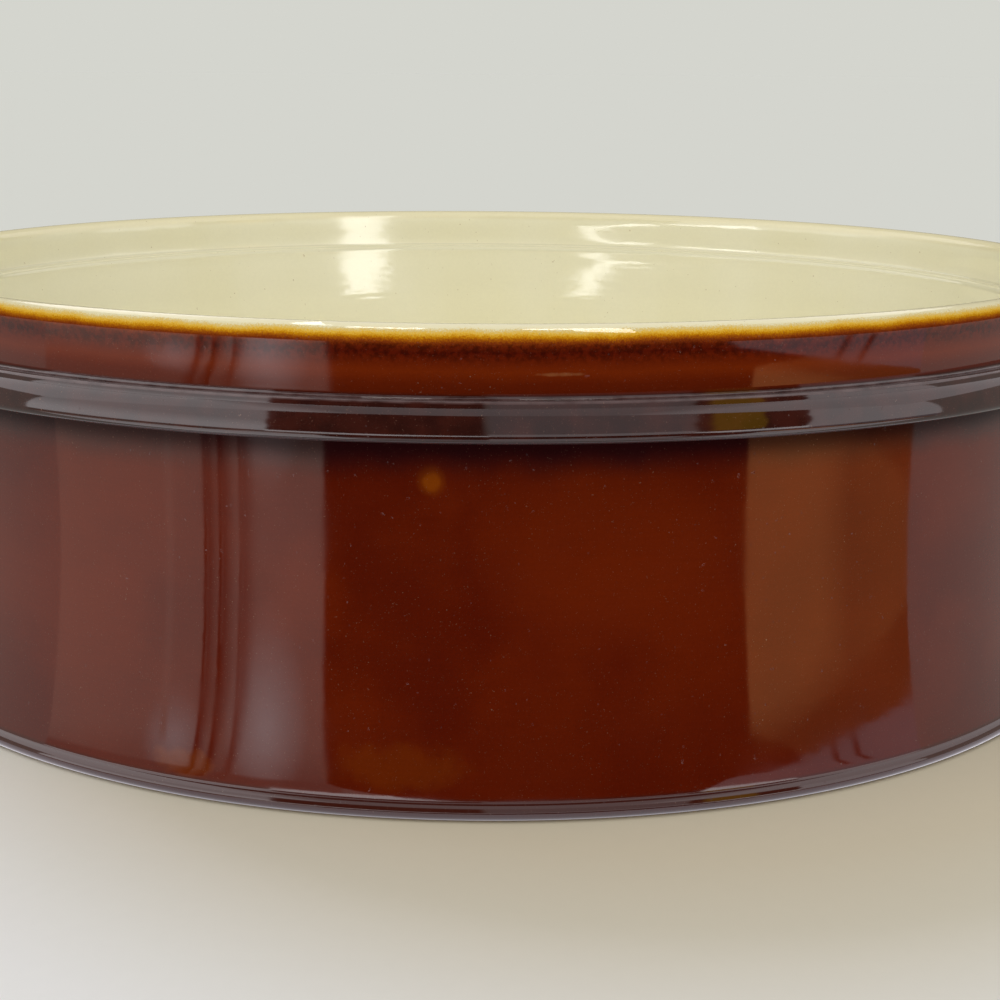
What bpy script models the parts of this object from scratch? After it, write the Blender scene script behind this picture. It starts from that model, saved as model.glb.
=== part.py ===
"""Oval stoneware casserole dish: a clay body with a moulded flange, its two glaze coats and a pair of lug handles.

Metres, +Z up, +X along the dish, the foot on Z = 0. Every section is a list of (offset, height) points. The offset
is measured outwards from the plan oval, which is the line of the wall's outer face just under the flange. The section
is drawn once, as the finished glazed surface, and runs from the floor up the inside, over the rim and down the outside.
"""

import math

import bmesh
import bpy

MM = 0.001

# Plan and height of the dish
BODY_LENGTH = 264 * MM
BODY_WIDTH = 194 * MM
HEIGHT = 88 * MM

# Rim and collar
RIM_THICKNESS = 4.4 * MM
COLLAR_PROUD = 0.8 * MM
COLLAR_HEIGHT = 11.6 * MM
COLLAR_DRAFT = 0.6 * MM
COVE_HEIGHT = 3.6 * MM

# Flange: a thin bead over a wider band
BEAD_HEIGHT = 2.3 * MM
BEAD_SETBACK = 1.1 * MM
BAND_HEIGHT = 4.5 * MM
FLANGE_REACH = 6.0 * MM
BAND_SHOULDER = 1.5 * MM
BAND_EDGE = 1.4 * MM
UNDERCUT_FILLET = 1.6 * MM

# Wall and foot. The wall stands upright under the flange and sweeps out to a bead at the foot.
WALL_FLARE = 4.6 * MM
WALL_SWEEP = 2.7
FOOT_BEAD_HEIGHT = 4.0 * MM
FOOT_BEAD_REACH = 1.4 * MM
FOOT_COVE = 1.5 * MM
FOOT_CHAMFER = 0.5 * MM
FOOT_WIDTH = 9.0 * MM
RECESS_DEPTH = 1.2 * MM

# Inside: lid gallery, wall and floor. The wall draws in under the gallery and is upright at the floor.
GALLERY_DEPTH = 9.5 * MM
GALLERY_WIDTH = 4.0 * MM
GALLERY_FILLET = 0.8 * MM
GALLERY_NOSE = 1.4 * MM
INSIDE_DRAW = 3.6 * MM
INSIDE_SWEEP = 2.0
FLOOR_THICKNESS = 6.8 * MM
FLOOR_FILLET = 14.0 * MM

# Glaze coats. They meet on the outer side of the rim and the brown one stops short of the foot.
GLAZE_THICKNESS = 0.5 * MM
SEAT_GAP = 0.3 * MM
GLAZE_LINE_ANGLE = 16.0
GLAZE_STOP_ANGLE = -50.0

# Lug handles
LUG_WIDTH = 74 * MM
LUG_REACH = 19 * MM
LUG_THICKNESS = 9.5 * MM
LUG_EDGE = 3.4 * MM
LUG_DROP = 0.9 * MM
FINGER_HOLLOW_DEPTH = 2.4 * MM
FINGER_HOLLOW_WIDTH = 44 * MM
FINGER_HOLLOW_LENGTH = 15 * MM

# Facets
PLAN_STEPS = 48
WALL_STEPS = 4
INSIDE_STEPS = 2
LUG_STEPS = 28

STONEWARE = ((0.56, 0.43, 0.29), 0.85)
BROWN_GLAZE = ((0.085, 0.014, 0.003), 0.08)
CREAM_GLAZE = ((0.70, 0.64, 0.41), 0.12)

# Heights and offsets that follow from the sizes above
COAT = GLAZE_THICKNESS + SEAT_GAP
LIP_RADIUS = RIM_THICKNESS / 2
LIP_CENTRE = (COLLAR_PROUD - LIP_RADIUS, HEIGHT - LIP_RADIUS)
CREASE_Z = HEIGHT - COLLAR_HEIGHT
GROOVE_Z = CREASE_Z - BEAD_HEIGHT
FLANGE_Z = GROOVE_Z - BAND_HEIGHT
BEAD_RADIUS = BEAD_HEIGHT / 2
BEAD_CENTRE = (FLANGE_REACH - BEAD_SETBACK - BEAD_RADIUS, CREASE_Z - BEAD_RADIUS)
FOOT_RADIUS = FOOT_BEAD_HEIGHT / 2
FOOT_CENTRE = (WALL_FLARE + FOOT_BEAD_REACH - FOOT_RADIUS, FOOT_RADIUS)
COLLAR_INSIDE = COLLAR_PROUD - RIM_THICKNESS - COLLAR_DRAFT
GALLERY_Z = HEIGHT - GALLERY_DEPTH
WALL_INSIDE_TOP = COLLAR_INSIDE - GALLERY_WIDTH
WALL_INSIDE_FOOT = WALL_INSIDE_TOP - INSIDE_DRAW
FLOOR_Z = RECESS_DEPTH + FLOOR_THICKNESS
LUG_TOP_Z = GROOVE_Z - LUG_DROP


def arc(centre, radius, start, end, steps):
    """Points of an arc in the section. Angles are in degrees, 0 outwards and 90 up."""
    radius_x, radius_z = radius if isinstance(radius, tuple) else (radius, radius)
    points = []
    for step in range(steps + 1):
        angle = math.radians(start + (end - start) * step / steps)
        points.append((centre[0] + radius_x * math.cos(angle), centre[1] + radius_z * math.sin(angle)))
    return points


def swept_wall(start, end, sweep, steps):
    """Points between the two ends of a wall, which it leaves out. It starts upright and leans more and more."""
    points = []
    for step in range(1, steps):
        share = math.sqrt(step / steps)
        offset = start[0] + (end[0] - start[0]) * share**sweep
        points.append((offset, start[1] + (end[1] - start[1]) * share))
    return points


def lip(start, end, steps):
    return arc(LIP_CENTRE, LIP_RADIUS, start, end, steps)


def inside_section():
    """Floor edge, wall, gallery nose and ledge, up to the inner side of the collar."""
    floor_centre = (WALL_INSIDE_FOOT - FLOOR_FILLET, FLOOR_Z + FLOOR_FILLET)
    nose_centre = (WALL_INSIDE_TOP + GALLERY_NOSE, GALLERY_Z - GALLERY_NOSE)
    ledge_centre = (COLLAR_INSIDE - GALLERY_FILLET, GALLERY_Z + GALLERY_FILLET)
    floor = arc(floor_centre, FLOOR_FILLET, -90, 0, 4)
    nose = arc(nose_centre, GALLERY_NOSE, 180, 90, 3)
    ledge = arc(ledge_centre, GALLERY_FILLET, -90, 0, 1)
    return floor + swept_wall(floor[-1], nose[0], INSIDE_SWEEP, INSIDE_STEPS) + nose + ledge


def outside_section():
    """Cove, bead, band, undercut, wall and foot bead, down to where the brown glaze stops."""
    cove_radius = (BEAD_CENTRE[0] - COLLAR_PROUD, COVE_HEIGHT)
    shoulder_centre = (FLANGE_REACH - BAND_SHOULDER, GROOVE_Z - BAND_SHOULDER)
    edge_centre = (FLANGE_REACH - BAND_EDGE, FLANGE_Z + BAND_EDGE)
    undercut_centre = (UNDERCUT_FILLET, FLANGE_Z - UNDERCUT_FILLET)
    cove = arc((BEAD_CENTRE[0], CREASE_Z + COVE_HEIGHT), cove_radius, 180, 270, 3)
    bead = arc(BEAD_CENTRE, BEAD_RADIUS, 60, -60, 3)
    band = arc(shoulder_centre, BAND_SHOULDER, 80, 0, 2) + arc(edge_centre, BAND_EDGE, 0, -90, 2)
    undercut = arc(undercut_centre, UNDERCUT_FILLET, 90, 180, 2)
    foot = foot_bead()
    wall = swept_wall(undercut[-1], foot[0], WALL_SWEEP, WALL_STEPS)
    return cove + bead + band + undercut + wall + foot


def foot_bead():
    """Cove at the end of the wall, and the bead that it runs into at one angle."""
    across = WALL_FLARE + FOOT_COVE - FOOT_CENTRE[0]
    angle = math.degrees(math.acos(across / (FOOT_RADIUS + FOOT_COVE)))
    cove_z = FOOT_CENTRE[1] + (FOOT_RADIUS + FOOT_COVE) * math.sin(math.radians(angle))
    cove = arc((WALL_FLARE + FOOT_COVE, cove_z), FOOT_COVE, 180, 180 + angle, 2)
    return cove[:-1] + arc(FOOT_CENTRE, FOOT_RADIUS, angle, GLAZE_STOP_ANGLE, 3)


def foot_section():
    """Bare foot ring of the clay and the edge of the recess inside it."""
    ring_outside = FOOT_CENTRE[0] + (FOOT_RADIUS - COAT) * math.cos(math.radians(GLAZE_STOP_ANGLE))
    ring_inside = ring_outside - FOOT_CHAMFER - FOOT_WIDTH
    return [
        (ring_outside, FOOT_CHAMFER),
        (ring_outside - FOOT_CHAMFER, 0.0),
        (ring_inside, 0.0),
        (ring_inside - RECESS_DEPTH, RECESS_DEPTH),
    ]


def inset(points, depth):
    """The section moved into the clay by depth, measured square to it. A negative depth moves it out."""
    moved = []
    for index, (x, z) in enumerate(points):
        normals = []
        for first, second in ((index - 1, index), (index, index + 1)):
            if first >= 0 and second < len(points):
                run = points[second][0] - points[first][0]
                rise = points[second][1] - points[first][1]
                length = math.hypot(run, rise)
                normals.append((-rise / length, run / length))
        side_x = sum(normal[0] for normal in normals)
        side_z = sum(normal[1] for normal in normals)
        scale = len(normals) * depth / (side_x**2 + side_z**2)
        moved.append((x - side_x * scale, z - side_z * scale))
    return moved


def surface_material(name, look):
    colour, roughness = look
    material = bpy.data.materials.new(name)
    material.use_nodes = True
    shader = material.node_tree.nodes["Principled BSDF"]
    shader.inputs["Base Color"].default_value = (*colour, 1.0)
    shader.inputs["Roughness"].default_value = roughness
    shader.inputs["Metallic"].default_value = 0.0
    return material


def poly_curve(name, points, cyclic):
    """A flat curve through the points."""
    curve = bpy.data.curves.new(name, "CURVE")
    curve.dimensions = "2D"
    spline = curve.splines.new("POLY")
    spline.points.add(len(points) - 1)
    for spline_point, (x, y) in zip(spline.points, points):
        spline_point.co = (x, y, 0.0, 1.0)
    spline.use_cyclic_u = cyclic
    return curve


def mesh_of_curve(curve, name):
    """The curve's evaluated mesh, welded, with its open ends filled and its faces turned outwards."""
    holder = bpy.data.objects.new(name, curve)
    bpy.context.scene.collection.objects.link(holder)
    evaluated = holder.evaluated_get(bpy.context.evaluated_depsgraph_get())
    mesh = bpy.data.meshes.new_from_object(evaluated)
    mesh.name = name
    bpy.data.objects.remove(holder)
    shape = bmesh.new()
    shape.from_mesh(mesh)
    bmesh.ops.remove_doubles(shape, verts=shape.verts, dist=0.001 * MM)
    bmesh.ops.holes_fill(shape, edges=[edge for edge in shape.edges if edge.is_boundary], sides=0)
    bmesh.ops.recalc_face_normals(shape, faces=shape.faces)
    shape.to_mesh(mesh)
    shape.free()
    mesh.shade_smooth()
    mesh.set_sharp_from_angle(angle=math.radians(40))
    return mesh


def sweep(name, section, closed):
    """The section carried round the plan oval. An open section ends in flat floors."""
    oval = []
    for step in range(PLAN_STEPS):
        angle = 2 * math.pi * step / PLAN_STEPS
        oval.append((BODY_LENGTH / 2 * math.cos(angle), BODY_WIDTH / 2 * math.sin(angle)))
    # A flat path turns its profile's +X into the oval, so the offsets change sign.
    turned = [(-offset, height) for offset, height in section]
    profile = bpy.data.objects.new(name + "_profile", poly_curve(name + "_profile", turned, closed))
    bpy.context.scene.collection.objects.link(profile)
    path = poly_curve(name + "_path", oval, True)
    path.fill_mode = "NONE"
    path.bevel_mode = "OBJECT"
    path.bevel_object = profile
    mesh = mesh_of_curve(path, name)
    bpy.data.objects.remove(profile)
    return mesh


def add_part(name, mesh, material, collection, parent):
    part = bpy.data.objects.new(name, mesh)
    mesh.materials.append(material)
    collection.objects.link(part)
    part.parent = parent
    return part


def add_cutter(name, mesh, collection):
    cutter = bpy.data.objects.new(name, mesh)
    cutter.hide_render = True
    cutter.display_type = "WIRE"
    collection.objects.link(cutter)
    return cutter


def cut(part, cutter):
    boolean = part.modifiers.new(cutter.name, "BOOLEAN")
    boolean.operation = "DIFFERENCE"
    boolean.object = cutter


def body_mesh():
    skin = inside_section() + lip(180, 0, 6) + outside_section()
    return sweep("stoneware_body", inset(skin, COAT) + foot_section(), False)


def brown_coat_mesh():
    coat_gap_angle = math.degrees(SEAT_GAP / LIP_RADIUS)
    skin = lip(GLAZE_LINE_ANGLE - coat_gap_angle, 0, 1) + outside_section()
    return sweep("brown_glaze_coat", skin + inset(skin, GLAZE_THICKNESS)[::-1], True)


def cream_coat_mesh():
    skin = inside_section() + lip(180, 90, 3) + lip(90, GLAZE_LINE_ANGLE, 2)[1:]
    return sweep("cream_glaze_coat", skin + inset(skin, GLAZE_THICKNESS)[::-1], False)


def lug_seat_mesh():
    """The solid that cuts a lug to the clay wall, with the gap it is luted on with."""
    skin = lip(GLAZE_LINE_ANGLE, 0, 1) + outside_section()
    return sweep("lug_seat", inset(skin, COAT - SEAT_GAP), False)


def lug_mesh(name, growth):
    """A half-moon tab with rounded edges, grown all round. Its inner half lies inside the dish."""
    reach = FLANGE_REACH + LUG_REACH - LUG_EDGE
    half_width = LUG_WIDTH / 2 - LUG_EDGE
    outline = []
    for step in range(LUG_STEPS):
        angle = 2 * math.pi * step / LUG_STEPS
        outline.append((BODY_LENGTH / 2 + reach * math.cos(angle), half_width * math.sin(angle)))
    curve = poly_curve(name, outline, True)
    curve.fill_mode = "BOTH"
    curve.extrude = LUG_THICKNESS / 2 - LUG_EDGE
    curve.bevel_depth = LUG_EDGE + growth
    curve.bevel_resolution = 2
    return mesh_of_curve(curve, name)


def finger_hollow_mesh(name):
    """A flattened ball that scoops the underside of a lug."""
    mesh = bpy.data.meshes.new(name)
    half_sizes = (FINGER_HOLLOW_LENGTH / 2, FINGER_HOLLOW_WIDTH / 2, FINGER_HOLLOW_DEPTH)
    shape = bmesh.new()
    bmesh.ops.create_uvsphere(shape, u_segments=16, v_segments=10, radius=1.0)
    bmesh.ops.scale(shape, vec=half_sizes, verts=shape.verts)
    shape.to_mesh(mesh)
    shape.free()
    return mesh


def main():
    for item in list(bpy.data.objects):
        bpy.data.objects.remove(item)
    dish = bpy.data.collections.new("oval_casserole_dish")
    cutters = bpy.data.collections.new("cutters")
    for collection in (dish, cutters):
        bpy.context.scene.collection.children.link(collection)
    base = bpy.data.objects.new("dish_frame", None)
    dish.objects.link(base)

    brown = surface_material("brown_glaze", BROWN_GLAZE)
    add_part("stoneware_body", body_mesh(), surface_material("stoneware", STONEWARE), dish, base)
    brown_coat = add_part("brown_glaze_coat", brown_coat_mesh(), brown, dish, base)
    add_part("cream_glaze_coat", cream_coat_mesh(), surface_material("cream_glaze", CREAM_GLAZE), dish, base)

    lug_seat = add_cutter("lug_seat", lug_seat_mesh(), cutters)
    lug_z = LUG_TOP_Z - LUG_THICKNESS / 2
    hollow_x = BODY_LENGTH / 2 + FLANGE_REACH + LUG_REACH / 2
    for side, turn in (("right", 0.0), ("left", math.pi)):
        # The lug is luted to the clay, so the brown coat is open where it passes through.
        handle = add_part("lug_handle_" + side, lug_mesh("lug_handle_" + side, 0.0), brown, dish, base)
        opening = add_cutter("lug_opening_" + side, lug_mesh("lug_opening_" + side, SEAT_GAP), cutters)
        for piece in (handle, opening):
            piece.location.z = lug_z
            piece.rotation_euler.z = turn
        hollow = add_cutter("finger_hollow_" + side, finger_hollow_mesh("finger_hollow_" + side), cutters)
        hollow.location = (hollow_x * math.cos(turn), 0.0, LUG_TOP_Z - LUG_THICKNESS)
        cut(brown_coat, opening)
        cut(handle, lug_seat)
        cut(handle, hollow)


main()
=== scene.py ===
"""Looks of the oval casserole dish: a glazed stoneware pot, brown outside and cream inside.

Metres, +Z up, +X along the dish, the foot on Z = 0. Sections are lists of (offset, height) points in
millimetres. An offset is measured outwards from the plan oval, the line of the wall's outer face just
under the flange.
"""

import math

import bmesh
import bpy
from mathutils import Matrix, Vector, noise


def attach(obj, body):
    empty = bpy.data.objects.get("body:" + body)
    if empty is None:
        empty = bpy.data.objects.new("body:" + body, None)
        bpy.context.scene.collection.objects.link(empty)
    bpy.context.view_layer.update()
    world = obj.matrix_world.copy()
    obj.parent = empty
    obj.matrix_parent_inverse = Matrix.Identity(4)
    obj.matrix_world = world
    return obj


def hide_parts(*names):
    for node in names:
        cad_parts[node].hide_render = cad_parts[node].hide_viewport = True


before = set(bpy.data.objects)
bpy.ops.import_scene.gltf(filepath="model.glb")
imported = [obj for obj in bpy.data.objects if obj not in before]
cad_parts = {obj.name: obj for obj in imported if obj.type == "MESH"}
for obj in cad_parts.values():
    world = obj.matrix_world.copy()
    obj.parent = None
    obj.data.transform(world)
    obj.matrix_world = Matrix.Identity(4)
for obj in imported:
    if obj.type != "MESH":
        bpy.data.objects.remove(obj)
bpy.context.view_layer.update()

MM = 0.001

# Plan and height, in millimetres as all sizes of the dish
HALF_LENGTH = 132.0
HALF_WIDTH = 97.0
HEIGHT = 88.0

# Rim, collar and flange
LIP_RADIUS = 2.2
COLLAR_PROUD = 0.8
COLLAR_LEAN = 0.04
COVE_RADIUS = 0.5
COVE_END_ANGLE = 268.0
CREASE_DEPTH = 0.3
FACE_TOP_ANGLE = 30.0
BEAD_FACE_RADIUS = 2.8
BEAD_FOOT_ANGLE = 9.0
BEAD_SHOULDER = 0.6
BEAD_TOP_ANGLE = 50.0
BEAD_LIFT = 0.03
FLANGE_REACH = 6.0
FLANGE_Z = 69.15
BAND_FACE_RADIUS = 8.0
BAND_FOOT_ANGLE = 4.2
BAND_SHOULDER = 3.6
BAND_TOP_ANGLE = 50.0
BAND_EDGE = 1.3
UNDERCUT_FILLET = 1.1
UNDERCUT_RING = 0.2

# Wall and foot
WALL_FLARE = 4.6
WALL_SWEEP = 2.7
FOOT_RADIUS = 1.7
FOOT_REACH = 6.0
FOOT_COVE = 0.5
FOOT_CHAMFER = 0.5
FOOT_WIDTH = 9.0
RECESS_DEPTH = 1.2

# Inside. The collar's inner face leans a little, and more towards its top and foot than at its waist.
WAIST = (-4.13, 82.6)
WAIST_LEAN = 0.093
WAIST_BOW = 0.0048
LIP_INSIDE_ANGLE = 165.0
LEDGE_END_ANGLE = -14.0
GALLERY_Z = 78.5
GALLERY_FILLET = 0.8
GALLERY_NOSE = 1.4
WALL_INSIDE_TOP = -8.2
INSIDE_DRAW = 4.0
INSIDE_SWEEP = 3.0
FLOOR_Z = 8.0
FLOOR_FILLET = 14.0

# Glaze coats
GLAZE_THICKNESS = 0.5
COAT = 0.8
GLAZE_LINE_ANGLE = 16.0
GLAZE_STOP_ANGLE = -50.0

# Lugs
LUG_HALF_WIDTH = 37.0
LUG_REACH = 25.0
LUG_THICKNESS = 9.5
LUG_EDGE = 3.4
LUG_TOP_Z = 73.2
LUG_ROOT_FILLET = 4.0
LUG_TOP_FILLET = 0.5
HOLLOW_DEPTH = 2.4
HOLLOW_HALF_WIDTH = 22.0
HOLLOW_HALF_LENGTH = 7.5
HOLLOW_MIDDLE = 15.5
HOLLOW_POWER = 1.5
HOLLOW_BLEND = 1.6
# Half-moon outline: how far it turns, and the search for the plan angle of its points
LUG_OUTLINE_TURN = 120.0
LUG_OUTLINE_STEPS = 240
FIRST_GUESS = 0.8
SEARCH_STEPS = 12
SEARCH_PACE = 0.7
SMALLEST_STEP = 1e-9
# Offsets of the rings at the root, steps over the flat, angles round the nose, and the gap at the tip
LUG_ROOT_LEVELS = (-0.4, 0.0, 0.15, 0.4, 0.8, 1.4, 2.2, 3.2, 4.2, 5.2, 6.0, 6.3, 6.8, 7.5, 8.5)
LUG_FLAT_STEPS = 12
LUG_NOSE_ANGLES = range(8, 90, 9)
LUG_TIP_GAP = 0.004
# How the points of a ring crowd towards its rounded sides and edges
SIDE_CROWD = 1.25
EDGE_CROWD = 3.0
# Where the glaze starts to run thin, over what length, and how close to the edge
THIN_START = 5.0
THIN_RUN = 6.0
THIN_EDGE = 2.5

# Unevenness of the moulded surfaces
WAVE_LENGTH = 34.0
WAVE_DEPTH = 0.08
# The front of the collar is a little barrelled on the right and a little hollow on the left.
COLLAR_BARREL = 0.065
COLLAR_HOLLOW = 0.12
COLLAR_BOW_TURN = 3.0
COLLAR_BOW_Z = (76.4, 85.8)

# Steps round the plan and round a lug, and along the stretches of the sections
PLAN_STEPS = 288
LUG_STEPS = 72
FLOOR_STEPS = 16
WALL_INSIDE_STEPS = 24
NOSE_STEPS = 10
LEDGE_STEPS = 6
COLLAR_INSIDE_STEPS = 14
LIP_STEPS = 24
LIP_BROWN_STEPS = 8
LIP_CREAM_STEPS = 32
COLLAR_STEPS = 16
COVE_STEPS = 12
SHOULDER_STEPS = 8
FACE_STEPS = 12
EDGE_STEPS = 12
UNDER_STEPS = 3
UNDERCUT_STEPS = 8
WALL_STEPS = 30
FOOT_COVE_STEPS = 6
FOOT_STEPS = 14
FOOT_RING_STEPS = 4
CLOSING_RINGS = 10
# Power of a sweep that doesn't bend
STRAIGHT = 1.0
# Edges that turn by more degrees stay sharp.
SHARP_ANGLE = 35.0
# How fast the mark of the rim's outer side rises, in radii of the lip
OUTER_SIDE_RISE = 3.0

LIP_CENTRE = (COLLAR_PROUD - LIP_RADIUS, HEIGHT - LIP_RADIUS)
FOOT_CENTRE = (FOOT_REACH - FOOT_RADIUS, FOOT_RADIUS)
WALL_INSIDE_FOOT = WALL_INSIDE_TOP - INSIDE_DRAW


def arc(centre, radius, start, end, steps):
    """Points of an arc in the section. Angles are in degrees, 0 outwards and 90 up."""
    points = []
    for step in range(steps + 1):
        angle = math.radians(start + (end - start) * step / steps)
        points.append((centre[0] + radius * math.cos(angle), centre[1] + radius * math.sin(angle)))
    return points


def on_arc(centre, radius, angle):
    return arc(centre, radius, angle, angle, 1)[0]


def inner_centre(point, radius, angle):
    """Centre of the arc that passes through the point at that angle."""
    back = on_arc((0.0, 0.0), radius, angle)
    return (point[0] - back[0], point[1] - back[1])


def swept(start, end, power, steps):
    """Points between two ends, which it leaves out. The line starts upright and leans more and more."""
    points = []
    for step in range(1, steps):
        share = step / steps
        offset = start[0] + (end[0] - start[0]) * share**power
        points.append((offset, start[1] + (end[1] - start[1]) * share))
    return points


def lip(start, end, steps):
    return arc(LIP_CENTRE, LIP_RADIUS, start, end, steps)


def inside_section():
    """From the edge of the floor up to the inner side of the lip, which it leaves out."""
    floor_centre = (WALL_INSIDE_FOOT - FLOOR_FILLET, FLOOR_Z + FLOOR_FILLET)
    nose_centre = (WALL_INSIDE_TOP + GALLERY_NOSE, GALLERY_Z - GALLERY_NOSE)
    floor = arc(floor_centre, FLOOR_FILLET, -90, 0, FLOOR_STEPS)
    nose = arc(nose_centre, GALLERY_NOSE, 180, 90, NOSE_STEPS)
    ledge_end = on_arc((0.0, GALLERY_Z + GALLERY_FILLET), GALLERY_FILLET, LEDGE_END_ANGLE)
    ledge_centre = (collar_inside(ledge_end[1]) - ledge_end[0], GALLERY_Z + GALLERY_FILLET)
    ledge = arc(ledge_centre, GALLERY_FILLET, -90, LEDGE_END_ANGLE, LEDGE_STEPS)
    collar_top = on_arc(LIP_CENTRE, LIP_RADIUS, LIP_INSIDE_ANGLE)[1]
    rise = collar_top - ledge_end[1]
    steps = range(1, COLLAR_INSIDE_STEPS)
    heights = [ledge_end[1] + rise * step / COLLAR_INSIDE_STEPS for step in steps]
    wall = swept(floor[-1], nose[0], INSIDE_SWEEP, WALL_INSIDE_STEPS)
    return floor + wall + nose + ledge + [(collar_inside(height), height) for height in heights]


def collar_inside(height):
    """Offset of the collar's inner face."""
    rise = height - WAIST[1]
    return WAIST[0] + WAIST_LEAN * rise + WAIST_BOW * rise**3


def moulding(foot, face_radius, foot_angle, shoulder_radius, top_angle):
    """A shoulder and a slightly rounded face that ends at the foot point.

    Angles are those of the surface's normal.
    """
    face_centre = inner_centre(foot, face_radius, foot_angle)
    face = arc(face_centre, face_radius, FACE_TOP_ANGLE, foot_angle, FACE_STEPS)
    shoulder_centre = inner_centre(face[0], shoulder_radius, FACE_TOP_ANGLE)
    shoulder = arc(shoulder_centre, shoulder_radius, top_angle, FACE_TOP_ANGLE, SHOULDER_STEPS)
    return shoulder + face[1:]


def flange():
    """Bead, and the band that stands out below it with a rounded lower edge."""
    edge_centre = (FLANGE_REACH - BAND_EDGE, FLANGE_Z + BAND_EDGE)
    edge = arc(edge_centre, BAND_EDGE, BAND_FOOT_ANGLE, -90, EDGE_STEPS)
    band = moulding(edge[0], BAND_FACE_RADIUS, BAND_FOOT_ANGLE, BAND_SHOULDER, BAND_TOP_ANGLE)
    bead_foot = (band[0][0], band[0][1] + BEAD_LIFT)
    bead = moulding(bead_foot, BEAD_FACE_RADIUS, BEAD_FOOT_ANGLE, BEAD_SHOULDER, BEAD_TOP_ANGLE)
    return bead + band + edge[1:]


def foot_bead():
    """Cove at the end of the wall, and the bead that it runs into at one angle."""
    wall_height = FLANGE_Z - UNDERCUT_FILLET - FOOT_CENTRE[1] - FOOT_RADIUS
    wall_angle = math.degrees(math.atan(WALL_FLARE * WALL_SWEEP / wall_height))
    cove_offset = WALL_FLARE - on_arc((0.0, 0.0), FOOT_COVE, 180 + wall_angle)[0]
    angle = math.degrees(math.acos((cove_offset - FOOT_CENTRE[0]) / (FOOT_RADIUS + FOOT_COVE)))
    cove_z = FOOT_CENTRE[1] + (FOOT_RADIUS + FOOT_COVE) * math.sin(math.radians(angle))
    cove = arc((cove_offset, cove_z), FOOT_COVE, 180 + wall_angle, 180 + angle, FOOT_COVE_STEPS)
    return cove[:-1] + arc(FOOT_CENTRE, FOOT_RADIUS, angle, GLAZE_STOP_ANGLE, FOOT_STEPS)


def outside_section():
    """From under the lip down over collar, cove, bead, band, undercut and wall to the foot bead."""
    lip_foot = lip(0, 0, 1)[0]
    mouldings = flange()
    cove_z = mouldings[0][1] - CREASE_DEPTH + COVE_RADIUS
    cove_centre = (COLLAR_PROUD - COLLAR_LEAN + COVE_RADIUS, cove_z)
    cove = arc(cove_centre, COVE_RADIUS, 180, COVE_END_ANGLE, COVE_STEPS)
    collar = swept(lip_foot, cove[0], STRAIGHT, COLLAR_STEPS)
    undercut_centre = (UNDERCUT_FILLET, FLANGE_Z - UNDERCUT_FILLET)
    undercut = arc(undercut_centre, UNDERCUT_FILLET, 90, 180, UNDERCUT_STEPS)
    under = swept(mouldings[-1], undercut[0], STRAIGHT, UNDER_STEPS)
    # A ring close under the fillet keeps the wall's shading straight.
    undercut.append((undercut[-1][0], undercut[-1][1] - UNDERCUT_RING))
    foot = foot_bead()
    wall = swept(undercut[-1], foot[0], WALL_SWEEP, WALL_STEPS)
    return collar + cove + mouldings + under + undercut + wall + foot


def foot_section():
    """Bare foot ring and the edge of the recess inside it."""
    outside = FOOT_CENTRE[0] + (FOOT_RADIUS - COAT) * math.cos(math.radians(GLAZE_STOP_ANGLE))
    chamfer = arc((outside - FOOT_CHAMFER, FOOT_CHAMFER), FOOT_CHAMFER, 0, -90, FOOT_RING_STEPS)
    recess_centre = (outside - FOOT_CHAMFER - FOOT_WIDTH, RECESS_DEPTH)
    recess = arc(recess_centre, RECESS_DEPTH, -90, -180, FOOT_RING_STEPS)
    return chamfer + recess


def inset(points, depth):
    """The section moved into the clay by depth, measured square to it."""
    moved = []
    for index, (x, z) in enumerate(points):
        before = points[max(index - 1, 0)]
        after = points[min(index + 1, len(points) - 1)]
        run, rise = after[0] - before[0], after[1] - before[1]
        length = math.hypot(run, rise)
        moved.append((x + rise / length * depth, z - run / length * depth))
    return moved


def oval_point(angle, offset, height):
    """A point of the dish in metres, offset square to the plan oval."""
    side = Vector((math.cos(angle) / HALF_LENGTH, math.sin(angle) / HALF_WIDTH)).normalized()
    x = HALF_LENGTH * math.cos(angle) + side.x * offset
    y = HALF_WIDTH * math.sin(angle) + side.y * offset
    return Vector((x, y, height)) * MM


def collar_bow(angle, height):
    """How far the front of the collar swells, or sinks where it is below 0."""
    low, high = COLLAR_BOW_Z
    share = min(max((height - low) / (high - low), 0.0), 1.0)
    side = math.tanh(COLLAR_BOW_TURN * math.cos(angle)) * max(-math.sin(angle), 0.0)
    depth = COLLAR_BARREL if side > 0 else COLLAR_HOLLOW
    return depth * 4 * share * (1 - share) * side


def waved_point(angle, offset, height):
    """oval_point with the slight unevenness of a moulded pot, which draws it in."""
    share = 0.5 + 0.5 * noise.noise(oval_point(angle, 0.0, height) / (WAVE_LENGTH * MM))
    wave = WAVE_DEPTH * min(max(share, 0.0), 1.0)
    return oval_point(angle, offset - wave + collar_bow(angle, height), height)


def bridge(shape, first, second):
    for step in range(len(first)):
        following = (step + 1) % len(first)
        shape.faces.new((first[step], first[following], second[following], second[step]))


def close_ring(shape, ring, rings):
    """Fills a flat ring with smaller ovals down to one middle point."""
    outline = [vertex.co.copy() for vertex in ring]
    middle = sum(outline, Vector()) / len(outline)
    for step in range(rings - 1, 0, -1):
        smaller = [shape.verts.new(middle.lerp(point, step / rings)) for point in outline]
        bridge(shape, ring, smaller)
        ring = smaller
    centre = shape.verts.new(middle)
    for step in range(len(ring)):
        shape.faces.new((ring[step], ring[(step + 1) % len(ring)], centre))


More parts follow.
